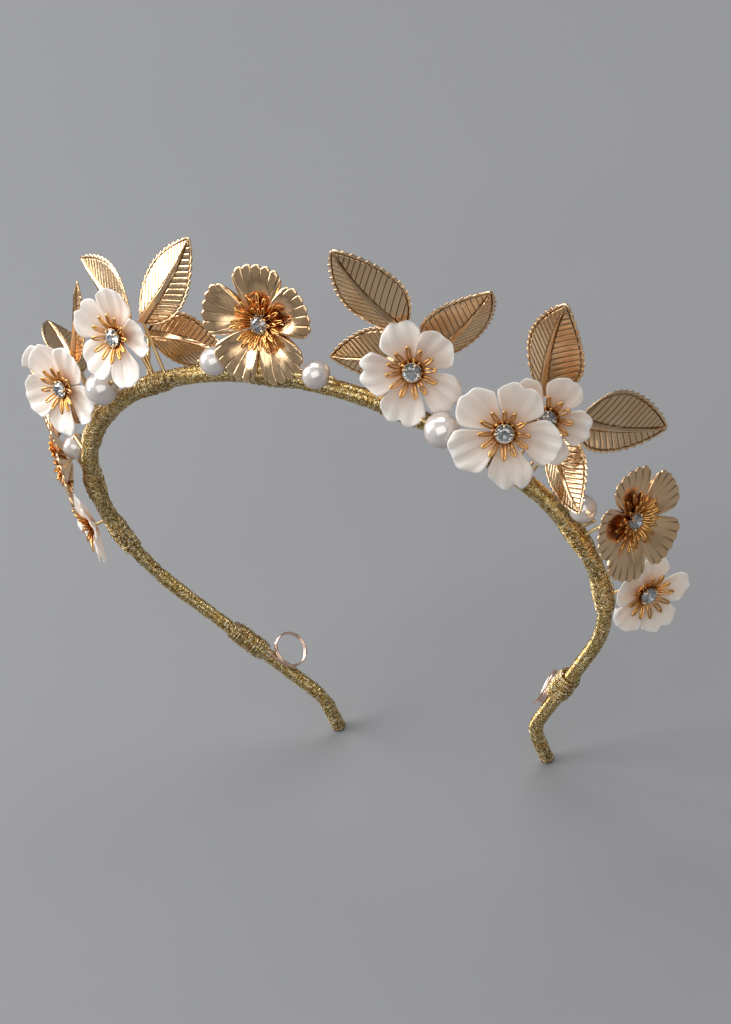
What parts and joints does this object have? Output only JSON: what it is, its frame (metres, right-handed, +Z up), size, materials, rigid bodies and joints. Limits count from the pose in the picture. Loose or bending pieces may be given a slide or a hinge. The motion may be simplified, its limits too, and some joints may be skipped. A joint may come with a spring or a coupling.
{
  "type": "bridal tiara",
  "caption": "Headband tiara of thread-wrapped wire carrying cream and gold flowers, engraved gold leaves and threaded pearls, with hairpin loops on the legs.",
  "frame": {"origin": "midway between the two tips, on the plane they stand on", "axes": "+Z up towards the crown, +X to the right seen from the front, -Y the way the ornaments face"},
  "size_m": [0.1723, 0.04, 0.1641],
  "materials": {
    "core_steel": "plain",
    "crown_thread": "glittering fine metallic thread",
    "leg_thread": "fine metallic thread",
    "binding_thread": "fine metallic thread, lumpy",
    "blush_wire": "polished blush gold",
    "stamen_copper_gold": "polished copper gold",
    "white_petal": "translucent satin cream",
    "gold_petal": "satin champagne gold",
    "crystal": "faceted clear",
    "setting_gold": "polished",
    "stem_gold_wire": "satin",
    "gold_leaf": "satin champagne gold, engraved",
    "pearl": "ivory lustre"
  },
  "bodies": {
    "tiara": {"band_core": "core_steel", "crown_wrap": "crown_thread", "left_leg_wrap": "leg_thread", "right_leg_wrap": "leg_thread", "stem_bindings": "binding_thread", "left_loop_binding": "binding_thread", "right_loop_binding": "binding_thread", "left_hairpin_loop": "blush_wire", "right_hairpin_loop": "blush_wire", "left_white_flower_1": "white_petal", "left_white_flower_2": "white_petal", "left_white_flower_3": "white_petal", "left_white_flower_4": "white_petal", "right_white_flower_1": "white_petal", "right_white_flower_2": "white_petal", "right_white_flower_3": "white_petal", "right_white_flower_4": "white_petal", "left_gold_flower": "gold_petal", "centre_gold_flower": "gold_petal", "right_gold_flower": "gold_petal", "left_white_flower_1_stamens": "stamen_copper_gold", "left_white_flower_2_stamens": "stamen_copper_gold", "left_white_flower_3_stamens": "stamen_copper_gold", "left_white_flower_4_stamens": "stamen_copper_gold", "right_white_flower_1_stamens": "stamen_copper_gold", "right_white_flower_2_stamens": "stamen_copper_gold", "right_white_flower_3_stamens": "stamen_copper_gold", "right_white_flower_4_stamens": "stamen_copper_gold", "left_gold_flower_stamens": "stamen_copper_gold", "centre_gold_flower_stamens": "stamen_copper_gold", "right_gold_flower_stamens": "stamen_copper_gold", "crystals": "crystal", "crystal_settings": "setting_gold", "flower_stems": "stem_gold_wire", "leaf_stems": "stem_gold_wire", "pearl_wires": "stem_gold_wire", "left_leaf_1": "gold_leaf", "left_leaf_2": "gold_leaf", "left_leaf_3": "gold_leaf", "left_leaf_4": "gold_leaf", "left_leaf_5": "gold_leaf", "left_leaf_6": "gold_leaf", "right_leaf_1": "gold_leaf", "right_leaf_2": "gold_leaf", "right_leaf_3": "gold_leaf", "right_leaf_4": "gold_leaf", "right_leaf_5": "gold_leaf", "right_leaf_6": "gold_leaf"},
    "left_pearl_1_bead": {"left_pearl_1": "pearl"},
    "left_pearl_2_bead": {"left_pearl_2": "pearl"},
    "left_pearl_3_bead": {"left_pearl_3": "pearl"},
    "right_pearl_1_bead": {"right_pearl_1": "pearl"},
    "right_pearl_2_bead": {"right_pearl_2": "pearl"},
    "right_pearl_3_bead": {"right_pearl_3": "pearl"}
  },
  "joints": [
    {"name": "left_pearl_1_spin", "type": "hinge", "parent": "tiara", "child": "left_pearl_1_bead", "pos_m": [-0.00931, -0.0018, 0.13646], "axis": [0.9938, 0, 0.1115], "continuous": true},
    {"name": "left_pearl_2_spin", "type": "hinge", "parent": "tiara", "child": "left_pearl_2_bead", "pos_m": [-0.04462, -0.003, 0.12488], "axis": [0.848, 0, 0.5299], "continuous": true},
    {"name": "left_pearl_3_spin", "type": "hinge", "parent": "tiara", "child": "left_pearl_3_bead", "pos_m": [-0.06861, 0.0025, 0.09639], "axis": [0.3746, 0, 0.9272], "continuous": true},
    {"name": "right_pearl_1_spin", "type": "hinge", "parent": "tiara", "child": "right_pearl_1_bead", "pos_m": [0.01722, -0.0018, 0.13518], "axis": [0.9785, 0, -0.2062], "continuous": true},
    {"name": "right_pearl_2_spin", "type": "hinge", "parent": "tiara", "child": "right_pearl_2_bead", "pos_m": [0.04613, -0.0042, 0.12344], "axis": [0.8348, 0, -0.5505], "continuous": true},
    {"name": "right_pearl_3_spin", "type": "hinge", "parent": "tiara", "child": "right_pearl_3_bead", "pos_m": [0.06942, 0.0014, 0.09541], "axis": [0.3535, 0, -0.9354], "continuous": true}
  ]
}
